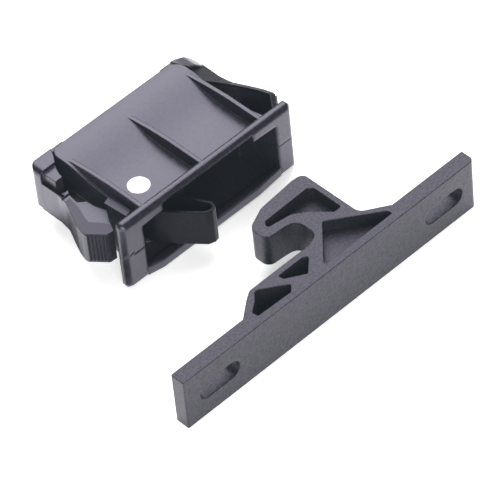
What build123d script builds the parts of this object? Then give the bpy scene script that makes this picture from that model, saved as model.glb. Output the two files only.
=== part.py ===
from build123d import *
import math
import os

os.makedirs("parts", exist_ok=True)

# Millimetres. X runs along the bezel, +Y into the furniture, +Z up from the surface it lies on.
# The latch is drawn with its bezel's front face at y = 0 and moved with the keeper at the end.

# Sizes read off the photograph, scaled by a 50 mm bezel
BEZEL_W = 50.0
BEZEL_H = 18.9
BEZEL_T = 2.16
BEZEL_CORNER_R = 1.2
BEZEL_CHAMFER = 0.95
MOUTH_LEFT = -19.5
MOUTH_RIGHT = 20.3
MOUTH_SILL_Z = 1.9
MOUTH_EAVE_DROP = 3.1
MOUTH_CROWN_DROP = 2.5
MOUTH_TAPER = 0.5
RELIEF_HALF_W = 13.4
RELIEF_DROP = 0.8
BODY_HALF_W = 18.7
BODY_REAR_Y = 30.5
BODY_REAR_R = 3.6
SHOULDER_OUT = 2.5
SHOULDER_REAR_OUT = 0.3
SHOULDER_Y = 11.5
WALL = 1.2
PANEL_WALL = 1.05
PANEL_DROP = 3.1
PANEL_FLAT_Y = 13.0
HUMP_Y = 24.5
HUMP_DROP = 1.45
REAR_DROP = 1.9
REAR_EDGE_R = 0.8
RIB_T = 1.0
RIB_DROP = 0.15
RIB_FLAT_Y = 12.0
RIB_LEFT_INSET = 1.3
RIB_RIGHT_INSET = 1.35
PART_STEP_X = -22.6
PART_STEP = 0.85
PART_GROOVE = 0.2

# Snap legs: the left one, the right one is the same turned over about the latch's middle
LEG_LOW_Z = 5.4
LEG_DROP = 5.1
LEG_OUT = 5.5
LEG_PLATE = 2.0
LEG_WALL = 1.2
FINGER_ROOT_Y = 19.6
BLOCK_DROP = 1.9
BLOCK_FRONT_Y = 26.8
BLOCK_CORNER_R = 2.0
BLOCK_EDGE_R = 1.5
ARM_DROP = 2.7
ARM_FRONT_Y = 23.0
BRIDGE_DROP = 6.4

PIVOT_X = -11.8
PIVOT_Y = 9.3
PIN_R = 1.5
PIN_HEAD_R = 2.5
PIN_HEAD_H = 0.45
PIN_TAIL_R = 2.1
PIN_TAIL_H = 0.5

PAWL_BOSS_H = 2.5
PAWL_HEADROOM = 0.55
PAWL_FLOOR_T = 1.5
HUB_R = 3.6
LINK_PIN_R = 0.8
LINK_RADIUS = 5.5
LINK_ANGLE = 52.0
EYE_R = 1.9
EYE_T = 3.0
SHANK_W = 2.4
COLLAR_R = 2.6
COLLAR_T = 0.9
COLLAR_AT = 3.2
ROD_R = 0.9
ROD_PAST_ANCHOR = 1.5
ANCHOR_X = -8.0
ANCHOR_Y = 26.0
ANCHOR_T = 1.4
ANCHOR_HALF_W = 3.4
ANCHOR_RISE = 3.15
SPRING_R = 1.95
SPRING_WIRE_R = 0.27
SPRING_TURNS = 4.0

POST_X = 14.2
POST_Y = 26.6
POST_R = 1.3
SOCKET_WALL = 1.0
SOCKET_DEPTH = 3.6

# Clearances
RUN_FIT = 0.05
FIXED_FIT = 0.03
SIDE_PLAY = 0.3
SEAT_GAP = 0.02

# Keeper, in its own frame: u along the bar, n away from its front face
KEEPER_X = -43.36
KEEPER_Y = -37.25
KEEPER_L = 85.6
KEEPER_H = 13.7
KEEPER_T = 3.7
SLOT_L = 11.4
SLOT_W = 4.6
SLOT_FIRST_U = 9.7
SLOT_Z = 6.9
HOOK_LOW_Z = 5.2
POCKET_DEPTH = 6.7

mid_z = BEZEL_H / 2
panel_z = BEZEL_H - PANEL_DROP
ceiling_z = panel_z - PANEL_WALL
underside_z = MOUTH_SILL_Z - PANEL_WALL
shoulder_half_w = BODY_HALF_W + SHOULDER_OUT
leg_top = BEZEL_H - LEG_DROP
pawl_low = MOUTH_SILL_Z + PAWL_BOSS_H + SIDE_PLAY
pawl_top = ceiling_z - PAWL_HEADROOM


def rounded(points, radii):
    """A closed face through the points, each corner rounded to its own radius."""
    return make_face(FilletPolyline(*points, radius=radii, close=True))


def from_side(points):
    """Points measured outward from the body's right side."""
    return [(BODY_HALF_W + x, y) for x, y in points]


def prism(face, low, high):
    """The flat face raised from one height to another."""
    return Pos(0, 0, low) * extrude(face, high - low)


def slab(x0, x1, y0, y1, z0, z1):
    """A box between two corners."""
    box = Box(x1 - x0, y1 - y0, z1 - z0)
    return Pos((x0 + x1) / 2, (y0 + y1) / 2, (z0 + z1) / 2) * box


def along_x(points, x0, x1):
    """A (y, z) profile swept along X."""
    wire = Polyline(*[(x0, y, z) for y, z in points], close=True)
    return extrude(make_face(wire), x1 - x0, dir=(1, 0, 0))


def rod(x, y, r, low, high):
    """An upright cylinder."""
    return Pos(x, y, (low + high) / 2) * Cylinder(r, high - low)


def polar(r, degrees):
    """A point around the pawl's pivot."""
    angle = math.radians(degrees)
    return (PIVOT_X + r * math.cos(angle), PIVOT_Y + r * math.sin(angle))


# Housing
def cover_side(inset):
    """Side outline of the covers: a flat panel that swells to a low hump near the rear."""
    rear = BODY_REAR_Y
    edge = REAR_EDGE_R - inset
    top = panel_z - inset
    hump = BEZEL_H - HUMP_DROP - inset
    rear_top = BEZEL_H - REAR_DROP - inset
    low = underside_z + inset
    front = Line((0, 0.4, low), (0, 0.4, top))
    panel = Line((0, 0.4, top), (0, PANEL_FLAT_Y, top))
    if edge > 0:
        round_top = (0, rear - edge, rear_top)
        swell = Spline(
            (0, PANEL_FLAT_Y, top), (0, HUMP_Y, hump), round_top, tangents=[(0, 1, 0), (0, 1, -0.2)]
        )
        turn = edge * (1 - math.sqrt(0.5))
        arc_mid = (0, rear - turn, rear_top - turn)
        back = ThreePointArc(round_top, arc_mid, (0, rear, rear_top - edge))
        back += Line((0, rear, rear_top - edge), (0, rear, low))
    else:
        swell = Spline(
            (0, PANEL_FLAT_Y, top),
            (0, HUMP_Y, hump),
            (0, rear, rear_top),
            tangents=[(0, 1, 0), (0, 1, -0.2)],
        )
        back = Line((0, rear, rear_top), (0, rear, low))
    face = make_face(front + panel + swell + back + Line((0, rear, low), (0, 0.4, low)))
    return Pos(-40, 0, 0) * extrude(face, 80, dir=(1, 0, 0))


def body_plan(inset):
    """Plan outline of the body: shoulders that flare to the front, rounded corners behind."""
    a = shoulder_half_w - inset
    c = BODY_HALF_W + SHOULDER_REAR_OUT - inset
    b = BODY_HALF_W - inset
    r = BODY_REAR_R - inset
    step = SHOULDER_Y - inset
    rear = BODY_REAR_Y - inset
    points = [
        (-a, 0.4),
        (a, 0.4),
        (c, step),
        (b, step),
        (b, rear),
        (-b, rear),
        (-b, step),
        (-c, step),
    ]
    return rounded(points, [0, 0, 0.2, 0, r, r, 0, 0.2])


outer = prism(body_plan(0), 0, BEZEL_H) & cover_side(0)
inner = prism(body_plan(WALL), 0, BEZEL_H) & cover_side(PANEL_WALL)

rib_side = [
    (1.0, 0),
    (1.0, BEZEL_H - RIB_DROP),
    (RIB_FLAT_Y, BEZEL_H - RIB_DROP),
    ((RIB_FLAT_Y + HUMP_Y) / 2, BEZEL_H - RIB_DROP - 0.45),
    (HUMP_Y + 0.6, BEZEL_H - HUMP_DROP - 0.05),
    (HUMP_Y, underside_z),
    (HUMP_Y - 2, 0),
]
rib_places = (RIB_LEFT_INSET - BODY_HALF_W, 0, BODY_HALF_W - RIB_RIGHT_INSET)

bezel_face = RectangleRounded(BEZEL_W, BEZEL_H, BEZEL_CORNER_R)
bezel = extrude(Plane.XZ * bezel_face, -BEZEL_T)
bezel = Pos(0, 0, mid_z) * bezel
front = bezel.faces().sort_by(Axis.Y)[0]
bezel = chamfer(front.edges(), BEZEL_CHAMFER)


def mouth_face(y, left, right, eave, crown):
    """The mouth's outline on a plane across the latch, arched at the top."""
    a = (left, y, MOUTH_SILL_Z)
    b = (right, y, MOUTH_SILL_Z)
    c = (right, y, eave)
    d = (left, y, eave)
    top = ((left + right) / 2, y, crown)
    sides = Line(a, b) + Line(b, c) + ThreePointArc(c, top, d) + Line(d, a)
    return make_face(sides)


side = shoulder_half_w - WALL - MOUTH_TAPER
eave_z = BEZEL_H - MOUTH_EAVE_DROP
crown_z = BEZEL_H - MOUTH_CROWN_DROP
mouth = loft(
    [
        mouth_face(-0.3, MOUTH_LEFT, MOUTH_RIGHT, eave_z, crown_z),
        mouth_face(BEZEL_T + 0.2, -side, side, ceiling_z - 0.1, ceiling_z),
    ]
)

# Between its ends the mouth's upper lip slopes back, which leads the keeper's hook in
relief_z = BEZEL_H - RELIEF_DROP
relief_side = [(-1, mid_z), (-1, relief_z), (0, relief_z), (BEZEL_T + 0.2, ceiling_z), (BEZEL_T + 0.2, mid_z)]
mouth += along_x(relief_side, -RELIEF_HALF_W, RELIEF_HALF_W)

housing = outer + bezel
for x in rib_places:
    housing += along_x(rib_side, x - RIB_T / 2, x + RIB_T / 2)
housing -= inner
housing -= mouth

# Parting surface between the two shells, with a ramped tooth in the left bar of the bezel
tooth = Polyline(
    (-BEZEL_W / 2, 0, mid_z), (PART_STEP_X, 0, mid_z), (PART_STEP_X, 0, mid_z + PART_STEP), close=True
)
low_half = slab(-40, 40, -5, 40, -5, mid_z)
low_half += Pos(0, -1, 0) * extrude(make_face(tooth), 1 + BEZEL_CHAMFER, dir=(0, 1, 0))
lower = housing & low_half
upper = housing - low_half
groove = slab(-BEZEL_W / 2 - 1, MOUTH_LEFT + 1, -1, PART_GROOVE, mid_z, BEZEL_H)
upper -= Pos(0, 0, PART_GROOVE) * low_half & groove

# Snap legs, part of the upper shell, drawn for the right-hand side from the body's side outward
leg_points = [
    (4.0, 27.6),
    (LEG_OUT, 27.6),
    (5.4, 21.8),
    (5.9, 18.6),
    (7.6, 15.0),
    (8.9, 12.0),
    (9.6, 9.6),
    (9.5, 8.8),
    (6.5, 5.2),
    (4.6, 5.0),
    (3.4, 7.2),
    (1.4, 10.5),
    (2.3, 13.3),
    (2.5, 15.7),
    (4.1, 17.0),
    (3.7, 19.7),
    (2.9, 21.2),
    (4.0, 21.2),
]
leg_radii = [0, 0, 3, 3, 0, 0, 0.4, 0.3, 0.2, 0.4, 1.0, 0.3, 1.0, 0.5, 0.3, 0.3, 0.1, 0.2]
leg_plan = rounded(from_side(leg_points), leg_radii)
leg = prism(leg_plan, LEG_LOW_Z, leg_top)

# The finger is a plate with a wall round its outer side, open below and toward the body
finger_core = prism(Pos(-LEG_WALL, 0) * leg_plan, LEG_LOW_Z - 1, leg_top - LEG_PLATE)
leg -= finger_core & slab(0, BEZEL_W, -5, FINGER_ROOT_Y, 0, BEZEL_H)

# The block at the rear corner and the arm in front of it, on the leg's inner half
block_points = [
    (-1.0, BODY_REAR_Y),
    (LEG_OUT, BODY_REAR_Y),
    (LEG_OUT, BLOCK_FRONT_Y),
    (1.1, BLOCK_FRONT_Y),
    (0.2, 28.1),
    (-0.6, 29.5),
]
block_plan = rounded(from_side(block_points), [0, BLOCK_CORNER_R, 0, 0, 0, 0])
block_top = BEZEL_H - BLOCK_DROP
block = prism(block_plan, 0, BEZEL_H)
block_section = [
    (-8.7, BLOCK_DROP),
    (-0.1, BLOCK_DROP),
    (3.0, 3.2),
    (LEG_OUT, LEG_LOW_Z + 0.2),
    (LEG_OUT, block_top),
    (-8.7, block_top),
]
section_face = rounded(from_side(block_section), [0, 3.0, 3.0, 1.0, BLOCK_EDGE_R, 0])
block &= Pos(0, 40, 0) * extrude(Plane.XZ * section_face, 40)
arm_points = [
    (0.9, BLOCK_FRONT_Y + 0.3),
    (1.8, 25.5),
    (2.3, 24.2),
    (2.5, ARM_FRONT_Y),
    (4.6, ARM_FRONT_Y),
    (4.7, BLOCK_FRONT_Y + 0.3),
]
arm_plan = rounded(from_side(arm_points), [0, 0.5, 0.5, 0.2, 0.2, 0])
arm = prism(arm_plan, LEG_LOW_Z, BEZEL_H - ARM_DROP)
wing = leg + block + arm

# A groove along the arm's foot, a notch in front of it and a line across the leg
side_x = BODY_HALF_W
wing -= slab(side_x + 4.7, side_x + 5.2, 20.3, BLOCK_FRONT_Y, leg_top - 0.8, leg_top + 0.1)
wing -= slab(side_x + 2.3, side_x + 4.8, 21.45, ARM_FRONT_Y, leg_top - 2.8, leg_top + 0.1)
wing -= slab(side_x + 3.3, side_x + LEG_OUT + 0.5, 19.85, 20.25, leg_top - 0.45, leg_top + 0.1)

# What joins the block to the corner of the upper shell: a web, lower in front than at the rear
web_points = [
    (-4.2, BODY_REAR_Y),
    (-0.1, BODY_REAR_Y),
    (0.7, 28.2),
    (-1.3, 27.4),
    (-4.2, 28.6),
]
web_plan = make_face(Polyline(*from_side(web_points), close=True))
web = prism(web_plan, mid_z + SEAT_GAP, BEZEL_H - BRIDGE_DROP)
web_top = block_top - 0.25
web += slab(side_x - 4.2, side_x - 0.1, BODY_REAR_Y - 0.9, BODY_REAR_Y, mid_z + SEAT_GAP, web_top)
right_wing = Pos(0, 0, BEZEL_H) * mirror(wing, about=Plane.XY)
left_wing = mirror(wing, about=Plane.YZ)
cavity = inner + mouth
upper += web - cavity
upper += mirror(web, about=Plane.YZ) - cavity
upper += right_wing
upper += left_wing

# Posts of the lower shell in sockets of the upper one
post_low = MOUTH_SILL_Z - 0.2
for sign in (-1, 1):
    x = sign * POST_X
    lower += rod(x, POST_Y, POST_R + SOCKET_WALL, post_low, mid_z - SEAT_GAP)
    lower += rod(x, POST_Y, POST_R, post_low, mid_z + SOCKET_DEPTH - 0.2)
    collar = rod(x, POST_Y, POST_R + SOCKET_WALL, mid_z + SEAT_GAP, BEZEL_H)
    upper += collar & outer
    upper -= rod(x, POST_Y, POST_R + FIXED_FIT, mid_z - 1, mid_z + SOCKET_DEPTH)

# The pawl turns on a boss of the lower shell
lower += rod(PIVOT_X, PIVOT_Y, HUB_R, post_low, pawl_low - SIDE_PLAY)

# The wall the spring pushes against, with an open notch for the rod
anchor = slab(
    ANCHOR_X - ANCHOR_HALF_W,
    ANCHOR_X + ANCHOR_HALF_W,
    ANCHOR_Y - ANCHOR_T / 2,
    ANCHOR_Y + ANCHOR_T / 2,
    post_low,
    mid_z + ANCHOR_RISE,
)
notch = Pos(ANCHOR_X, ANCHOR_Y, mid_z) * Rot(90, 0, 0) * Cylinder(ROD_R + 0.65, 8)
notch += slab(
    ANCHOR_X - ROD_R - 0.65,
    ANCHOR_X + ROD_R + 0.65,
    ANCHOR_Y - 4,
    ANCHOR_Y + 4,
    mid_z,
    mid_z + ANCHOR_RISE + 1,
)
lower += anchor - notch

bore = rod(PIVOT_X, PIVOT_Y, PIN_R + FIXED_FIT, -1, BEZEL_H + 1)
upper -= bore
lower -= bore

# Pivot pin: a domed head above, a spread tail below
dome_r = (PIN_HEAD_R ** 2 + PIN_HEAD_H ** 2) / (2 * PIN_HEAD_H)
pin_side = Polyline(
    (0, 0, underside_z - PIN_TAIL_H),
    (PIN_TAIL_R - 0.3, 0, underside_z - PIN_TAIL_H),
    (PIN_TAIL_R, 0, underside_z - PIN_TAIL_H + 0.25),
    (PIN_TAIL_R, 0, underside_z - SEAT_GAP),
    (PIN_R, 0, underside_z - SEAT_GAP),
    (PIN_R, 0, panel_z + SEAT_GAP),
    (PIN_HEAD_R, 0, panel_z + SEAT_GAP),
)
head_top = panel_z + SEAT_GAP + PIN_HEAD_H
dome_mid_r = PIN_HEAD_R * 0.6
dome_mid_z = head_top - dome_r + math.sqrt(dome_r ** 2 - dome_mid_r ** 2)
dome = ThreePointArc(
    (PIN_HEAD_R, 0, panel_z + SEAT_GAP), (dome_mid_r, 0, dome_mid_z), (0, 0, head_top)
)
axis_line = Line((0, 0, head_top), (0, 0, underside_z - PIN_TAIL_H))
pin_face = make_face(pin_side + dome + axis_line)
pivot_pin = Pos(PIVOT_X, PIVOT_Y, 0) * revolve(pin_face, Axis.Z)

# Pawl, drawn in its open pose: hub, hooked claw in front, heel to the right
claw_points = [
    (-15.2, 6.6),
    (-14.3, 2.9),
    (-11.5, -0.9),
    (-7.2, -6.1),
    (-5.6, -6.7),
    (-4.2, -6.3),
    (-3.8, -4.8),
    (-5.2, -1.8),
    (-7.0, 2.4),
    (-8.1, 5.6),
    (-6.6, 6.3),
    polar(10.0, -19),
    polar(11.0, -8),
    polar(11.3, 3),
    polar(10.6, 9),
    polar(5.2, 32),
    (-10.5, 12.4),
    (-13.0, 12.2),
]
claw_radii = [0, 2, 2, 0.8, 0.7, 0.7, 0.6, 2, 2, 1.0, 0.5, 0.6, 1, 1, 0.6, 1, 0, 0]
pawl_plan = rounded(claw_points, claw_radii) + Pos(PIVOT_X, PIVOT_Y) * Circle(HUB_R)
link_x, link_y = polar(LINK_RADIUS, LINK_ANGLE)
lug_plan = make_hull(
    (Pos(link_x, link_y) * Circle(EYE_R + 0.4)).edges()
    + (Pos(PIVOT_X, PIVOT_Y) * Circle(HUB_R)).edges()
)
pawl = prism(pawl_plan + lug_plan, pawl_low, pawl_top)
claw_pocket = [
    (-11.0, -0.5),
    (-6.9, -5.5),
    (-5.6, -6.05),
    (-4.7, -5.8),
    (-4.45, -4.85),
    (-5.8, -2.0),
    (-7.6, 2.2),
    (-8.7, 4.9),
    (-11.8, 4.6),
    (-13.2, 5.0),
    (-13.5, 3.3),
]
heel_pocket = [
    polar(6.6, -21),
    polar(9.3, -14),
    polar(9.8, -6),
    polar(10.1, 2),
    polar(9.5, 5),
    polar(6.2, 18),
    polar(5.0, 12),
    polar(4.8, 0),
    polar(5.0, -13),
]
for points in (claw_pocket, heel_pocket):
    pawl -= prism(rounded(points, 0.4), pawl_low + PAWL_FLOOR_T, pawl_top + 1)
eye_low = mid_z - EYE_T / 2
eye_top = mid_z + EYE_T / 2
pawl -= rod(link_x, link_y, EYE_R + SIDE_PLAY + 0.2, eye_low - 0.1, eye_top + 0.1)
pawl -= rod(link_x, link_y, LINK_PIN_R + FIXED_FIT, 0, BEZEL_H)
pawl -= rod(PIVOT_X, PIVOT_Y, PIN_R + RUN_FIT, 0, BEZEL_H)

link_pin = rod(link_x, link_y, LINK_PIN_R, pawl_low + 0.1, pawl_top - 0.1)

# Spring guide: eye on the link pin, collar, and a rod that slides through the anchor's notch
reach = math.dist((link_x, link_y), (ANCHOR_X, ANCHOR_Y))
swing = math.degrees(math.atan2(ANCHOR_Y - link_y, ANCHOR_X - link_x))
guide = rod(0, 0, EYE_R, -EYE_T / 2, EYE_T / 2)
guide += slab(0, COLLAR_AT, -SHANK_W / 2, SHANK_W / 2, -EYE_T / 2 + 0.2, EYE_T / 2 - 0.2)
collar_disc = Rot(0, 90, 0) * Cylinder(COLLAR_R, COLLAR_T)
guide += Pos(COLLAR_AT + COLLAR_T / 2, 0, 0) * collar_disc
rod_len = reach + ROD_PAST_ANCHOR - COLLAR_AT
rod_bar = Rot(0, 90, 0) * Cylinder(ROD_R, rod_len)
rod_bar = chamfer(rod_bar.faces().sort_by(Axis.X)[-1].edges(), 0.25)
guide += Pos(COLLAR_AT + rod_len / 2, 0, 0) * rod_bar
guide -= rod(0, 0, LINK_PIN_R + RUN_FIT, -5, 5)
guide_place = Pos(link_x, link_y, mid_z) * Rot(0, 0, swing)
spring_guide = guide_place * guide

spring_from = COLLAR_AT + COLLAR_T + SEAT_GAP + SPRING_WIRE_R
spring_to = reach - ANCHOR_T / 2 - 0.1 - SPRING_WIRE_R
spring_len = spring_to - spring_from
coil_path = Helix(spring_len / SPRING_TURNS, spring_len, SPRING_R)
coil_start = Plane(coil_path @ 0, z_dir=coil_path % 0)
coil = sweep(coil_start * RegularPolygon(SPRING_WIRE_R, 4), coil_path, is_frenet=True)
spring = guide_place * Pos(spring_from, 0, 0) * Rot(0, 90, 0) * coil

# Keeper: slotted bar with a hollow hook, drawn in u, n, z
bar_points = [
    (0, 0),
    (KEEPER_L, 0),
    (KEEPER_L, KEEPER_T),
    (0, KEEPER_T),
]
keeper = prism(rounded(bar_points, [0.3, 1.2, 0.3, 0.3]), 0, KEEPER_H)
hook_points = [
    (20.6, KEEPER_T - 1),
    (20.6, KEEPER_T),
    (24.8, 7.0),
    (27.1, 8.5),
    (44.4, 8.5),
    (47.9, 9.6),
    (47.9, 15.6),
    (44.7, 16.1),
    (39.7, 16.4),
    (39.7, 21.2),
    (45.3, 23.7),
    (55.3, 24.6),
    (58.4, 24.4),
    (58.4, 7.6),
    (64.6, KEEPER_T),
    (64.6, KEEPER_T - 1),
]
hook_radii = [0, 0.8, 1.5, 1.5, 3.0, 2.2, 2.4, 0, 2.0, 2.2, 4.0, 3.0, 1.6, 2.5, 1.0, 0]
hook_plan = rounded(hook_points, hook_radii)
keeper += prism(hook_plan, HOOK_LOW_Z, KEEPER_H)
pocket_outlines = [
    (
        [
            (42.2, 18.7),
            (43.2, 20.3),
            (55.9, 20.6),
            (57.0, 19.6),
            (57.0, 11.4),
            (55.0, 11.4),
            (51.5, 15.4),
            (48.4, 17.7),
        ],
        [0.5, 0.8, 0.3, 0.6, 0.5, 0.5, 2, 2],
    ),
    ([(42.5, 2.0), (62.9, 2.0), (62.4, 3.4), (51.3, 11.3)], [0.5, 0.3, 0.4, 0.6]),
    ([(34.0, 7.0), (34.3, 5.6), (38.7, 2.9), (42.2, 6.2), (41.3, 7.0)], [0.4, 0.5, 0.5, 0.4, 0.4]),
    (
        [(23.2, 3.6), (23.4, 2.1), (32.6, 1.8), (34.3, 3.4), (28.6, 7.4), (27.6, 7.4), (25.9, 5.6)],
        [0.4, 0.4, 0.4, 0.5, 0.4, 0.4, 0.6],
    ),
]
for points, radii in pocket_outlines:
    keeper -= prism(rounded(points, radii), KEEPER_H - POCKET_DEPTH, KEEPER_H + 1)
slot_shape = extrude(Plane.XZ * SlotOverall(SLOT_L, SLOT_W), -(KEEPER_T + 2))
for u in (SLOT_FIRST_U, KEEPER_L - SLOT_FIRST_U):
    keeper -= Pos(u, -1, SLOT_Z) * slot_shape
keeper = Pos(KEEPER_X, KEEPER_Y, 0) * keeper

# The origin is under the middle of the two halves as they lie
shift_x = -(KEEPER_X + KEEPER_L / 2)
shift_y = -(KEEPER_Y + BODY_REAR_Y) / 2

shapes = {
    "housing_upper": upper,
    "housing_lower": lower,
    "pivot_pin": pivot_pin,
    "pawl": pawl,
    "link_pin": link_pin,
    "spring_guide": spring_guide,
    "spring": spring,
    "keeper": keeper,
}
for name, shape in shapes.items():
    shape = Pos(shift_x, shift_y, 0) * shape
    solids = shape.solids()
    whole = solids[0] if len(solids) == 1 else Compound(children=solids)
    export_step(whole, "parts/" + name + ".step")
    box = whole.bounding_box()
    print(name, len(solids), round(whole.volume, 2), box.min, box.max)
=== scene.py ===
import math

import bmesh
import bpy
from mathutils import Matrix, Vector


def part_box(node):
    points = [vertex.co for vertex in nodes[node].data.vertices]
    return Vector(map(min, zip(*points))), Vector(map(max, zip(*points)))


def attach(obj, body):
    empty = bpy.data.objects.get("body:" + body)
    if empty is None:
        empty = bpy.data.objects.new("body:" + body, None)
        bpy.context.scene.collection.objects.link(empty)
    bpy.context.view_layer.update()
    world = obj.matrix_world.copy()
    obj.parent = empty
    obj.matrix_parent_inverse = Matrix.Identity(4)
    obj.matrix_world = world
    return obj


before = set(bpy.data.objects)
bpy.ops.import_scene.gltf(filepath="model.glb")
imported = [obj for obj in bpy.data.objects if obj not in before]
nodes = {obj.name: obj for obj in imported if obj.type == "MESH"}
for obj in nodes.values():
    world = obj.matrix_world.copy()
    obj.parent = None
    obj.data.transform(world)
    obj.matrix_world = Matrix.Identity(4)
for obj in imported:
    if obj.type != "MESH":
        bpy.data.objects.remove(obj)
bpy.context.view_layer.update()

# A grabber catch in black plastic on white paper: the latch, with the keeper in front of it. Lengths are
# in mm where no comment gives another unit, and Blender's own are in metres.
METRE = 1000.0

# The latch's frame starts in the middle of the bezel's bottom front edge, with x along the bezel, y to the
# rear and z up. The keeper's starts at its lowest corner, with u along it and n across it.
shell_low, shell_high = (Vector(corner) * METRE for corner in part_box("housing_lower"))
LATCH_ORIGIN = Vector(((shell_low.x + shell_high.x) / 2, shell_low.y, shell_low.z))
KEEPER_ORIGIN = Vector(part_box("keeper")[0]) * METRE
# From the latch's middle to the body's side, and from the bezel's front to just behind its rear edge
BODY_HALF_W = 18.7
BEZEL_REAR_Y = 2.325

# The camera, fitted to the photograph: its angles, and its focal length in the photograph's pixels
AZIMUTH = math.radians(-39.73)
ELEVATION = math.radians(46.3)
ROLL = math.radians(-6.234)
FOCAL_PX = 4319.99
PHOTO_PX = 500
SENSOR_MM = 36.0
# The latch's origin as the camera sees it: how far away, right of the picture's middle and above it
ORIGIN_AWAY = 927.333
ORIGIN_RIGHT = -7.521
ORIGIN_ABOVE = 4.841
# The nearest and farthest that it sees
CLIP_NEAR = 50.0
CLIP_FAR = 20000.0

# Surroundings: an even low fill on the object, and a dark room in its gloss
ROOM_FILL = 0.30
ROOM_IN_GLOSS = 0.04
WHITE = (1.0, 1.0, 1.0, 1.0)
# White paper: half its width, its fibres' size and its two tones
PAPER_HALF = 3000.0
PAPER_FIBRE = 2.5
PAPER_TONES = ("f4f4f5", "fbfbfb")
# Its glow to the camera, and, as painted reflection, a whiteness above its colour and a glow that only the
# gloss sees
PAPER_GLOW = 0.50
PAPER_REFLECTION_BOOST = 1.2
PAPER_REFLECTION_GLOW = 0.8
# Painted dark reflections: oval patches where the paper is darker only in the gloss, so faces that mirror
# them go dark;
# the camera and the lamps see plain paper there. The middle's x and y in the part's frame, and the half
# widths along them. A patch fades out between two shares of its half width.
PAINTED_DARK_PATCHES = [
    (-33.0, 0.0, 8.5, 11.0),
    (-23.5, 22.5, 5.5, 12.5),
    (-9.0, -21.5, 7.0, 7.0),
]
PAINTED_DARK_TONE = 0.03
PAINTED_DARK_FADE = (0.8, 1.15)
# Soft lights, aimed at the part's origin: direction, then distance, width and height in metres, and watts
LIGHTS = {
    "rear softbox": ((0.40, 0.48, 0.78), 1.3, 1.3, 1.6, 28.0),
    "front left fill": ((-0.5, -0.8, 0.45), 1.3, 0.8, 0.8, 13.0),
}

# Moulded plastic: its refractive index, and its faintly violet gloss
PLASTIC_IOR = 1.53
GLOSS_TONE = "ebe4ff"
# Painted light: a faint bluish glow of the plastic itself, which keeps its deepest shade from quite black
PAINTED_GLOW_TONE = "cfeaff"
PAINTED_GLOW_STRENGTH = 0.015
# Flow marks of the melt: their size
FLOW_MM = 11.1
# Of the grain's noise, the band that mottles the colour and the band that varies the gloss
MOTTLE_BAND = (0.4, 0.6)
GRAIN_BAND = (0.3, 0.7)
# How far the grain takes the roughness up and down
ROUGH_SPREAD = 0.06
# Steel's fine marks: the noise's band, their depth, and the roughness's shares at the band's two ends
MARK_BAND = (0.35, 0.65)
MARK_DEPTH = 0.004
MARK_ROUGH = (0.7, 1.4)
# The Mix node has sockets for several types under one name: these are its two colours and their mix
MIX_FIRST = 6
MIX_SECOND = 7
MIX_RESULT = 2

# Sharp edges: the angle that they start at, and the facets across their rounding
SHARP_ANGLE = math.radians(35)
ROUND_FACETS = 2

# Grip ridges on the fingers' lock faces, in the latch's frame: the right finger's two ends of the row,
# then pitch, height, how deep the row is sunk into the wall, and each row's foot and top
RIDGE_FROM = (28.2, 8.8)
RIDGE_TO = (25.2, 5.2)
RIDGE_PITCH = 0.78
RIDGE_HEIGHT = 0.35
RIDGE_SUNK = 0.05
RIDGE_LEFT_Z = (5.7, 13.5)
RIDGE_RIGHT_Z = (5.4, 13.2)

# The lip on the mouth's sill, in the latch's frame: stations in x, each with how far the lip stands out
# in front of the bezel there
LIP_STATIONS = [(-19.5, 0.02), (-15.5, 0.8), (13.0, 0.8), (20.3, 0.02)]
# Its section: the front's foot, the underside that lies on the sill, and the top
LIP_FOOT_Z = 0.5
LIP_SEAT_Z = 1.85
LIP_TOP_Z = 2.9
# How far back the front reaches into the bezel, and the top over the sill
LIP_SUNK = 0.5
LIP_REAR = 1.2
# The width that its edges are rounded by
LIP_ROUND = 0.2

# The sloped upper edge of the right leg's outer wall, and the band round the left finger's top: stations
# along each, with its outer and its inner line as x outward from the body's side, and y
EDGE_LINES = [
    ((6.5, 5.25), (5.2, 5.3)),
    ((9.45, 8.8), (8.15, 9.0)),
    ((9.55, 9.6), (8.2, 9.8)),
    ((8.85, 12.0), (7.5, 12.0)),
    ((7.55, 15.0), (6.2, 15.0)),
    ((5.95, 18.4), (4.4, 18.4)),
    ((5.45, 20.6), (2.6, 20.6)),
    ((5.35, 22.5), (0.2, 22.5)),
    ((5.45, 26.9), (0.1, 26.9)),
]
BAND_LINES = [
    ((5.9, 18.9), (4.5, 18.9)),
    ((7.5, 15.0), (5.2, 15.0)),
    ((8.8, 12.0), (6.3, 12.2)),
    ((9.5, 9.7), (6.7, 10.6)),
    ((9.4, 8.85), (6.4, 10.1)),
    ((7.9, 7.05), (5.5, 9.0)),
    ((6.5, 5.35), (4.7, 7.9)),
    ((4.8, 5.2), (4.0, 6.7)),
]
# Their foot, the height of the outer line, and the rise for each mm inward
EDGE_FOOT_Z = 13.3
EDGE_OUTER_Z = 13.55
EDGE_SLOPE = 0.40
BAND_FOOT_Z = 13.6
BAND_OUTER_Z = 13.82
BAND_SLOPE = 0.12

# The pad on the left shoulder, beside the bezel: its foot and its top, each a height and an outline
PAD_RINGS = [
    (14.9, [(-18.9, 10.9), (-18.3, 4.6), (-19.9, 4.2), (-19.1, 10.4)]),
    (16.6, [(-19.0, 10.95), (-18.4, 4.5), (-20.3, 4.0), (-20.8, 10.3)]),
]

# The floors of the keeper's two large pockets, in u and n: the one in the hook, and the one in the bar at
# its foot, which a slanted web parts from it
FLOOR_FOOT_Z = 6.9
FLOOR_TOP_Z = 10.5
HOOK_POCKET = [
    (42.1, 18.7),
    (43.1, 20.4),
    (56.0, 20.7),
    (57.1, 19.7),
    (57.1, 11.3),
    (54.9, 11.3),
    (51.4, 15.3),
    (48.3, 17.6),
]
WEB_POCKET = [(42.3, 1.9), (63.0, 1.9), (62.6, 3.5), (51.3, 11.5)]


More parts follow.
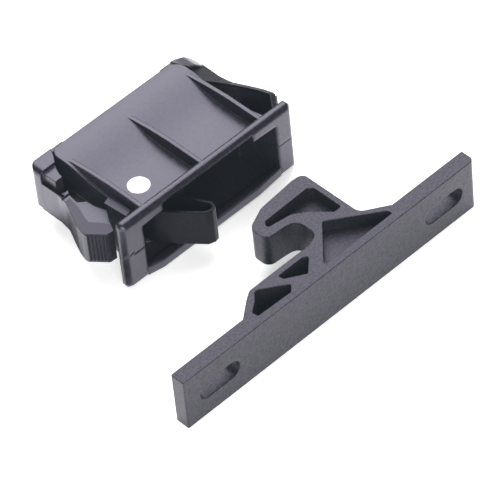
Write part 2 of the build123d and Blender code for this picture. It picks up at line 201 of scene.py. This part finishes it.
def camera():
    """The photograph's camera."""
    back = Vector(
        (
            math.sin(AZIMUTH) * math.cos(ELEVATION),
            -math.cos(AZIMUTH) * math.cos(ELEVATION),
            math.sin(ELEVATION),
        )
    )
    right = Vector((math.cos(AZIMUTH), math.sin(AZIMUTH), 0.0))
    up = back.cross(right)
    turned_right = right * math.cos(ROLL) + up * math.sin(ROLL)
    turned_up = up * math.cos(ROLL) - right * math.sin(ROLL)
    place = back * ORIGIN_AWAY - turned_right * ORIGIN_RIGHT - turned_up * ORIGIN_ABOVE
    data = bpy.data.cameras.new("camera")
    data.sensor_width = SENSOR_MM
    data.lens = FOCAL_PX / PHOTO_PX * SENSOR_MM
    data.clip_start = CLIP_NEAR / METRE
    data.clip_end = CLIP_FAR / METRE
    obj = bpy.data.objects.new("camera", data)
    turn = Matrix((turned_right, turned_up, back)).transposed()
    obj.matrix_world = Matrix.Translation((place + LATCH_ORIGIN) / METRE) @ turn.to_4x4()
    bpy.context.collection.objects.link(obj)
    bpy.context.scene.camera = obj


def soft_light(name, towards, away, width, height, watts):
    """A soft box in a direction from the part's origin, aimed at it."""
    data = bpy.data.lights.new(name, "AREA")
    data.shape = "RECTANGLE"
    data.size = width
    data.size_y = height
    data.energy = watts
    obj = bpy.data.objects.new(name, data)
    spot = Vector(towards).normalized() * away
    obj.matrix_world = Matrix.Translation(spot) @ spot.to_track_quat("Z", "Y").to_matrix().to_4x4()
    bpy.context.collection.objects.link(obj)


def colour(hexa):
    """Linear colour of an sRGB hex value."""
    out = []
    for i in (0, 2, 4):
        c = int(hexa[i : i + 2], 16) / 255
        out.append(c / 12.92 if c <= 0.04045 else ((c + 0.055) / 1.055) ** 2.4)
    return (*out, 1.0)


def add(tree, kind, inputs=None, **settings):
    """Adds a node with its settings, constants and links."""
    made = tree.nodes.new(kind)
    for name, value in settings.items():
        setattr(made, name, value)
    for name, value in (inputs or {}).items():
        if isinstance(value, bpy.types.NodeSocket):
            tree.links.new(value, made.inputs[name])
        else:
            made.inputs[name].default_value = value
    return made


def new_tree(name):
    """A material and its empty node tree."""
    mat = bpy.data.materials.new(name)
    mat.use_nodes = True
    mat.node_tree.nodes.clear()
    return mat, mat.node_tree


def paper_shown_in_gloss(tree, place):
    """How much of the paper's white the gloss shows at a place: all of it, or little on the patches of
    painted dark reflection.
    """
    shown = 1.0
    for x, y, half_x, half_y in PAINTED_DARK_PATCHES:
        moved = add(
            tree,
            "ShaderNodeMapping",
            {
                "Vector": place,
                "Location": (x / METRE, y / METRE, 0.0),
                "Scale": (half_x / METRE, half_y / METRE, 1.0),
            },
            vector_type="TEXTURE",
        )
        away = add(tree, "ShaderNodeVectorMath", {0: moved.outputs["Vector"]}, operation="LENGTH")
        # Painted dark reflection: inside this patch the paper's share in the gloss drops to the patch's
        # tone
        painted_dark = add(
            tree,
            "ShaderNodeMapRange",
            {
                "Value": away.outputs["Value"],
                "From Min": PAINTED_DARK_FADE[0],
                "From Max": PAINTED_DARK_FADE[1],
                "To Min": PAINTED_DARK_TONE,
            },
            interpolation_type="SMOOTHSTEP",
        )
        joined = add(tree, "ShaderNodeMath", {0: painted_dark.outputs["Result"], 1: shown}, operation="MULTIPLY")
        shown = joined.outputs[0]
    return shown


def paper():
    """Pale paper, faintly uneven: white to the camera, painted brighter in the gloss than it is lit, and
    painted dark in the gloss on the patches.
    """
    mat, tree = new_tree("pale paper")
    place = add(tree, "ShaderNodeTexCoord").outputs["Object"]
    fibre = add(
        tree, "ShaderNodeTexNoise", {"Vector": place, "Scale": METRE / PAPER_FIBRE, "Detail": 3.0}
    )
    first, second = PAPER_TONES
    tint = add(
        tree,
        "ShaderNodeMix",
        {0: fibre.outputs["Fac"], MIX_FIRST: colour(first), MIX_SECOND: colour(second)},
        data_type="RGBA",
    )
    path = add(tree, "ShaderNodeLightPath")
    shown = paper_shown_in_gloss(tree, place)
    # Painted reflection: in the gloss the paper is whiter than its colour and glows, less so on the
    # patches of painted dark reflection
    reflection_boost = add(tree, "ShaderNodeMath", {0: shown, 1: PAPER_REFLECTION_BOOST}, operation="MULTIPLY")
    reflection_glow = add(tree, "ShaderNodeMath", {0: shown, 1: PAPER_REFLECTION_GLOW}, operation="MULTIPLY")
    white = add(
        tree,
        "ShaderNodeMapRange",
        {"Value": path.outputs["Is Glossy Ray"], "To Min": 1.0, "To Max": reflection_boost.outputs[0]},
    )
    tone = add(
        tree,
        "ShaderNodeVectorMath",
        {0: tint.outputs[MIX_RESULT], "Scale": white.outputs["Result"]},
        operation="SCALE",
    )
    sheet = add(tree, "ShaderNodeBsdfDiffuse", {"Color": tone.outputs["Vector"]})
    seen_glow = add(
        tree,
        "ShaderNodeMath",
        {0: path.outputs["Is Camera Ray"], 1: PAPER_GLOW},
        operation="MULTIPLY",
    )
    strength = add(
        tree,
        "ShaderNodeMath",
        {0: path.outputs["Is Glossy Ray"], 1: reflection_glow.outputs[0], 2: seen_glow.outputs[0]},
        operation="MULTIPLY_ADD",
    )
    glow = add(tree, "ShaderNodeEmission", {"Color": WHITE, "Strength": strength.outputs[0]})
    both = add(tree, "ShaderNodeAddShader", {0: sheet.outputs[0], 1: glow.outputs[0]})
    add(tree, "ShaderNodeOutputMaterial", {"Surface": both.outputs[0]})
    return mat


def paper_floor():
    """The sheet of paper that the catch lies on."""
    mesh = bpy.data.meshes.new("floor")
    far = PAPER_HALF / METRE
    corners = [(-far, -far, 0), (far, -far, 0), (far, far, 0), (-far, far, 0)]
    mesh.from_pydata(corners, [], [(0, 1, 2, 3)])
    mesh.materials.append(paper())
    floor = bpy.data.objects.new("floor", mesh)
    bpy.context.collection.objects.link(floor)


def surroundings():
    """White to the camera, an even low fill on the object, and a dark room in its gloss."""
    world = bpy.data.worlds.new("surroundings")
    bpy.context.scene.world = world
    world.use_nodes = True
    world.cycles.sampling_method = "NONE"
    tree = world.node_tree
    tree.nodes.clear()
    path = add(tree, "ShaderNodeLightPath")
    level = add(
        tree,
        "ShaderNodeMapRange",
        {"Value": path.outputs["Is Glossy Ray"], "To Min": ROOM_FILL, "To Max": ROOM_IN_GLOSS},
    )
    room = add(tree, "ShaderNodeBackground", {"Color": WHITE, "Strength": level.outputs["Result"]})
    backdrop = add(tree, "ShaderNodeBackground", {"Color": WHITE, "Strength": 1.0})
    both = add(
        tree,
        "ShaderNodeMixShader",
        {0: path.outputs["Is Camera Ray"], 1: room.outputs[0], 2: backdrop.outputs[0]},
    )
    add(tree, "ShaderNodeOutputWorld", {"Surface": both.outputs[0]})


def bezel_radius(tree, place, round_mm, bezel_round_mm):
    """The radius that edges are shaded with at a place: one on the bezel, and another behind it."""
    depth = add(tree, "ShaderNodeSeparateXYZ", {"Vector": place})
    behind = add(
        tree,
        "ShaderNodeMath",
        {0: depth.outputs["Y"], 1: (LATCH_ORIGIN.y + BEZEL_REAR_Y) / METRE},
        operation="GREATER_THAN",
    )
    radius = add(
        tree,
        "ShaderNodeMapRange",
        {
            "Value": behind.outputs[0],
            "To Min": bezel_round_mm / METRE,
            "To Max": round_mm / METRE,
        },
    )
    return radius.outputs["Result"]


def moulded(name, dark, pale, rough, level, blotch, grain_mm, depth_mm, round_mm, bezel_round_mm=0):
    """Moulded plastic, with flow marks in its colour, mould grain in its gloss and edges shaded round.

    Its colour goes from dark to pale, rough is its roughness, and level is the strength of its gloss,
    which the grain takes up and down by the share blotch. The grain is grain_mm wide and depth_mm deep.
    """
    mat, tree = new_tree(name)
    place = add(tree, "ShaderNodeTexCoord").outputs["Object"]
    flow = add(
        tree,
        "ShaderNodeTexNoise",
        {"Vector": place, "Scale": METRE / FLOW_MM, "Detail": 3.0, "Roughness": 0.55, "Distortion": 0.4},
    )
    grain = add(
        tree,
        "ShaderNodeTexNoise",
        {"Vector": place, "Scale": METRE / grain_mm, "Detail": 4.0, "Roughness": 0.6},
    )
    mottle = add(
        tree,
        "ShaderNodeMapRange",
        {"Value": grain.outputs["Fac"], "From Min": MOTTLE_BAND[0], "From Max": MOTTLE_BAND[1]},
    )
    shade = add(
        tree,
        "ShaderNodeMath",
        {0: flow.outputs["Fac"], 1: mottle.outputs["Result"]},
        operation="MULTIPLY",
    )
    tint = add(
        tree,
        "ShaderNodeMix",
        {0: shade.outputs[0], MIX_FIRST: colour(dark), MIX_SECOND: colour(pale)},
        data_type="RGBA",
    )
    grained = {"Value": grain.outputs["Fac"], "From Min": GRAIN_BAND[0], "From Max": GRAIN_BAND[1]}
    roughness = add(
        tree,
        "ShaderNodeMapRange",
        {**grained, "To Min": rough - ROUGH_SPREAD, "To Max": rough + ROUGH_SPREAD},
    )
    shine = add(
        tree,
        "ShaderNodeMapRange",
        {**grained, "To Min": level * (1 - blotch), "To Max": level * (1 + blotch)},
    )
    radius = round_mm / METRE
    if bezel_round_mm:
        radius = bezel_radius(tree, place, round_mm, bezel_round_mm)
    edges = add(tree, "ShaderNodeBevel", {"Radius": radius}, samples=8)
    relief = add(
        tree,
        "ShaderNodeBump",
        {
            "Height": grain.outputs["Fac"],
            "Strength": 1.0,
            "Distance": depth_mm / METRE,
            "Normal": edges.outputs["Normal"],
        },
    )
    shader = add(
        tree,
        "ShaderNodeBsdfPrincipled",
        {
            "Base Color": tint.outputs[MIX_RESULT],
            "Roughness": roughness.outputs["Result"],
            "IOR": PLASTIC_IOR,
            "Specular IOR Level": shine.outputs["Result"],
            "Specular Tint": colour(GLOSS_TONE),
            # A faint painted glow, which lifts the deepest shade
            "Emission Color": colour(PAINTED_GLOW_TONE),
            "Emission Strength": PAINTED_GLOW_STRENGTH,
            "Normal": relief.outputs["Normal"],
        },
    )
    add(tree, "ShaderNodeOutputMaterial", {"Surface": shader.outputs[0]})
    return mat


def steel(name, tone, rough, mark_mm):
    """Bare steel, its gloss and surface broken up by fine marks that are mark_mm wide."""
    mat, tree = new_tree(name)
    place = add(tree, "ShaderNodeTexCoord").outputs["Object"]
    marks = add(
        tree,
        "ShaderNodeTexNoise",
        {"Vector": place, "Scale": METRE / mark_mm, "Detail": 5.0, "Roughness": 0.7},
    )
    roughness = add(
        tree,
        "ShaderNodeMapRange",
        {
            "Value": marks.outputs["Fac"],
            "From Min": MARK_BAND[0],
            "From Max": MARK_BAND[1],
            "To Min": rough * MARK_ROUGH[0],
            "To Max": rough * MARK_ROUGH[1],
        },
    )
    relief = add(
        tree,
        "ShaderNodeBump",
        {"Height": marks.outputs["Fac"], "Strength": 0.4, "Distance": MARK_DEPTH / METRE},
    )
    shader = add(
        tree,
        "ShaderNodeBsdfPrincipled",
        {
            "Base Color": colour(tone),
            "Metallic": 1.0,
            "Roughness": roughness.outputs["Result"],
            "Normal": relief.outputs["Normal"],
        },
    )
    add(tree, "ShaderNodeOutputMaterial", {"Surface": shader.outputs[0]})
    return mat


def dress(obj, finish):
    """Gives every slot of an object one material."""
    if not obj.data.materials:
        obj.data.materials.append(finish)
    for i in range(len(obj.data.materials)):
        obj.data.materials[i] = finish


def soften(obj, width):
    """Rounds an object's sharp edges, as a mould does."""
    edges = obj.modifiers.new("edges", "BEVEL")
    edges.width = width / METRE
    edges.segments = ROUND_FACETS
    edges.limit_method = "ANGLE"
    edges.angle_limit = SHARP_ANGLE
    edges.use_clamp_overlap = True
    edges.harden_normals = True


def latch_point(x, y, z):
    """A point of the latch's frame, in the part's frame."""
    return Vector((x, y, z)) + LATCH_ORIGIN


def loft(rings):
    """Corners and faces of a closed body through rings of as many points each."""
    size = len(rings[0])
    corners = [point for ring in rings for point in ring]
    faces = [tuple(range(size)), tuple(range(len(corners) - size, len(corners)))]
    for low in range(0, len(corners) - size, size):
        for i in range(size):
            after = (i + 1) % size
            faces.append((low + i, low + after, low + size + after, low + size + i))
    return corners, faces


def piece(name, rings, finish):
    """A piece of the object through rings of points in the part's frame; it rides on the fixed body."""
    corners, faces = loft(rings)
    mesh = bpy.data.meshes.new(name)
    mesh.from_pydata([tuple(point / METRE) for point in corners], [], faces)
    mesh.materials.append(finish)
    obj = bpy.data.objects.new(name, mesh)
    bpy.context.collection.objects.link(obj)
    skin = bmesh.new()
    skin.from_mesh(mesh)
    bmesh.ops.recalc_face_normals(skin, faces=skin.faces)
    skin.to_mesh(mesh)
    skin.free()
    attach(obj, "base")
    return obj


def grip_ridges(name, side, heights, finish):
    """Upright ridges of triangular section on a finger's lock face; side is -1 for the left finger."""
    start = latch_point(side * RIDGE_FROM[0], RIDGE_FROM[1], 0)
    end = latch_point(side * RIDGE_TO[0], RIDGE_TO[1], 0)
    length = (end - start).length
    along = (end - start).normalized()
    outward = Vector((-along.y, along.x, 0)) * side
    count = round(length / RIDGE_PITCH)
    step = length / count
    outline = [start - outward * RIDGE_SUNK]
    for i in range(count):
        outline.append(start + along * (i * step))
        outline.append(start + along * (i * step + step / 2) + outward * RIDGE_HEIGHT)
    outline.append(end)
    outline.append(end - outward * RIDGE_SUNK)
    rings = [[point + Vector((0, 0, z)) for point in outline] for z in heights]
    piece(name, rings, finish)


def sill_lip(finish):
    """The lip that stands on the mouth's sill and a little in front of it."""
    rings = []
    for x, out in LIP_STATIONS:
        section = [
            (-out, LIP_FOOT_Z),
            (-out, LIP_TOP_Z),
            (LIP_REAR, LIP_TOP_Z),
            (LIP_REAR, LIP_SEAT_Z),
            (LIP_SUNK, LIP_SEAT_Z),
            (LIP_SUNK, LIP_FOOT_Z),
        ]
        rings.append([latch_point(x, y, z) for y, z in section])
    soften(piece("sill_lip", rings, finish), LIP_ROUND)


def sloped_band(name, side, lines, foot, outer_z, slope, finish):
    """A band on a leg that rises from its outer line to its inner one; side is -1 for the left leg."""
    rings = []
    for outer, inner in lines:
        rise = slope * math.hypot(outer[0] - inner[0], outer[1] - inner[1])
        section = [(outer, foot), (outer, outer_z), (inner, outer_z + rise), (inner, foot)]
        rings.append([latch_point(side * (BODY_HALF_W + x), y, z) for (x, y), z in section])
    piece(name, rings, finish)


def shoulder_pad(finish):
    """The small raised pad on the left shoulder."""
    rings = [[latch_point(x, y, z) for x, y in outline] for z, outline in PAD_RINGS]
    piece("shoulder_pad", rings, finish)


def pocket_floor(name, outline, finish):
    """The raised floor of one of the keeper's pockets."""
    rings = []
    for z in (FLOOR_FOOT_Z, FLOOR_TOP_Z):
        rings.append([Vector((u, n, z)) + KEEPER_ORIGIN for u, n in outline])
    piece(name, rings, finish)


camera()
paper_floor()
surroundings()
for name, light in LIGHTS.items():
    soft_light(name, *light)
bpy.context.scene.view_settings.view_transform = "Standard"

# The grain and the marks are drawn coarser than the real ones, so that they show.

# Nylon from a satin mould: pale with gloss on every face that mirrors a light or the paper, and almost
# even, with wide soft lines of light along the bezel's edges and narrow ones elsewhere
shell_nylon = moulded(
    "satin moulded nylon, black",
    dark="1e1d21",
    pale="2a282e",
    rough=0.33,
    level=0.71,
    blotch=0.10,
    grain_mm=0.9,
    depth_mm=0.010,
    round_mm=0.40,
    bezel_round_mm=1.0,
)
# Nylon from a spark-eroded mould: duller, and speckled all over with pale dots
keeper_nylon = moulded(
    "spark-eroded nylon, black",
    dark="1c1b1f",
    pale="2a282e",
    rough=0.43,
    level=0.42,
    blotch=0.45,
    grain_mm=0.55,
    depth_mm=0.075,
    round_mm=0.35,
)
# Moulded nylon with nearly sharp edges, so that each grip ridge and small raised form shows by itself
grip_nylon = moulded(
    "moulded nylon grip, black",
    dark="1c1b1f",
    pale="262429",
    rough=0.42,
    level=0.50,
    blotch=0.10,
    grain_mm=0.9,
    depth_mm=0.010,
    round_mm=0.04,
)
# Painted shade: the shell's nylon given little gloss, so that it stays dark where it slopes toward the
# paper
shaded_edge_nylon = moulded(
    "nylon with painted shade, black",
    dark="1c1b1f",
    pale="262429",
    rough=0.36,
    level=0.16,
    blotch=0.10,
    grain_mm=0.9,
    depth_mm=0.010,
    round_mm=0.30,
)
# Acetal, self-lubricating and so kept smooth: the darkest plastic here, with faint wide highlights
pawl_acetal = moulded(
    "smooth acetal, black",
    dark="101012",
    pale="151518",
    rough=0.32,
    level=0.09,
    blotch=0.05,
    grain_mm=1.2,
    depth_mm=0.004,
    round_mm=0.25,
)
# Steel of the pins, turned and polished: the one bright spot on the catch, with a satin sheen
pin_steel = steel("polished steel", "f2f0ee", rough=0.42, mark_mm=0.4)
# Drawn spring wire: greyer, with sharper highlights
spring_steel = steel("drawn spring wire", "b9b7b3", rough=0.28, mark_mm=0.2)

# Each node's material, and the width that its sharp edges are rounded by; the spring is left as it is
finishes = {
    "housing_upper": (shell_nylon, 0.12),
    "housing_lower": (shell_nylon, 0.12),
    "keeper": (keeper_nylon, 0.14),
    "pawl": (pawl_acetal, 0.12),
    "spring_guide": (pawl_acetal, 0.08),
    "pivot_pin": (pin_steel, 0.05),
    "link_pin": (pin_steel, 0.05),
    "spring": (spring_steel, 0),
}
for name, (finish, width) in finishes.items():
    dress(nodes[name], finish)
    if width:
        soften(nodes[name], width)

grip_ridges("grip_ridges_left", -1, RIDGE_LEFT_Z, grip_nylon)
grip_ridges("grip_ridges_right", 1, RIDGE_RIGHT_Z, grip_nylon)
sill_lip(shell_nylon)
# The right leg's sloped edge, in the low-gloss nylon that paints its shade
sloped_band("right_leg_edge", 1, EDGE_LINES, EDGE_FOOT_Z, EDGE_OUTER_Z, EDGE_SLOPE, shaded_edge_nylon)
sloped_band("left_leg_band", -1, BAND_LINES, BAND_FOOT_Z, BAND_OUTER_Z, BAND_SLOPE, grip_nylon)
shoulder_pad(grip_nylon)
pocket_floor("hook_pocket_floor", HOOK_POCKET, keeper_nylon)
pocket_floor("web_pocket_floor", WEB_POCKET, keeper_nylon)
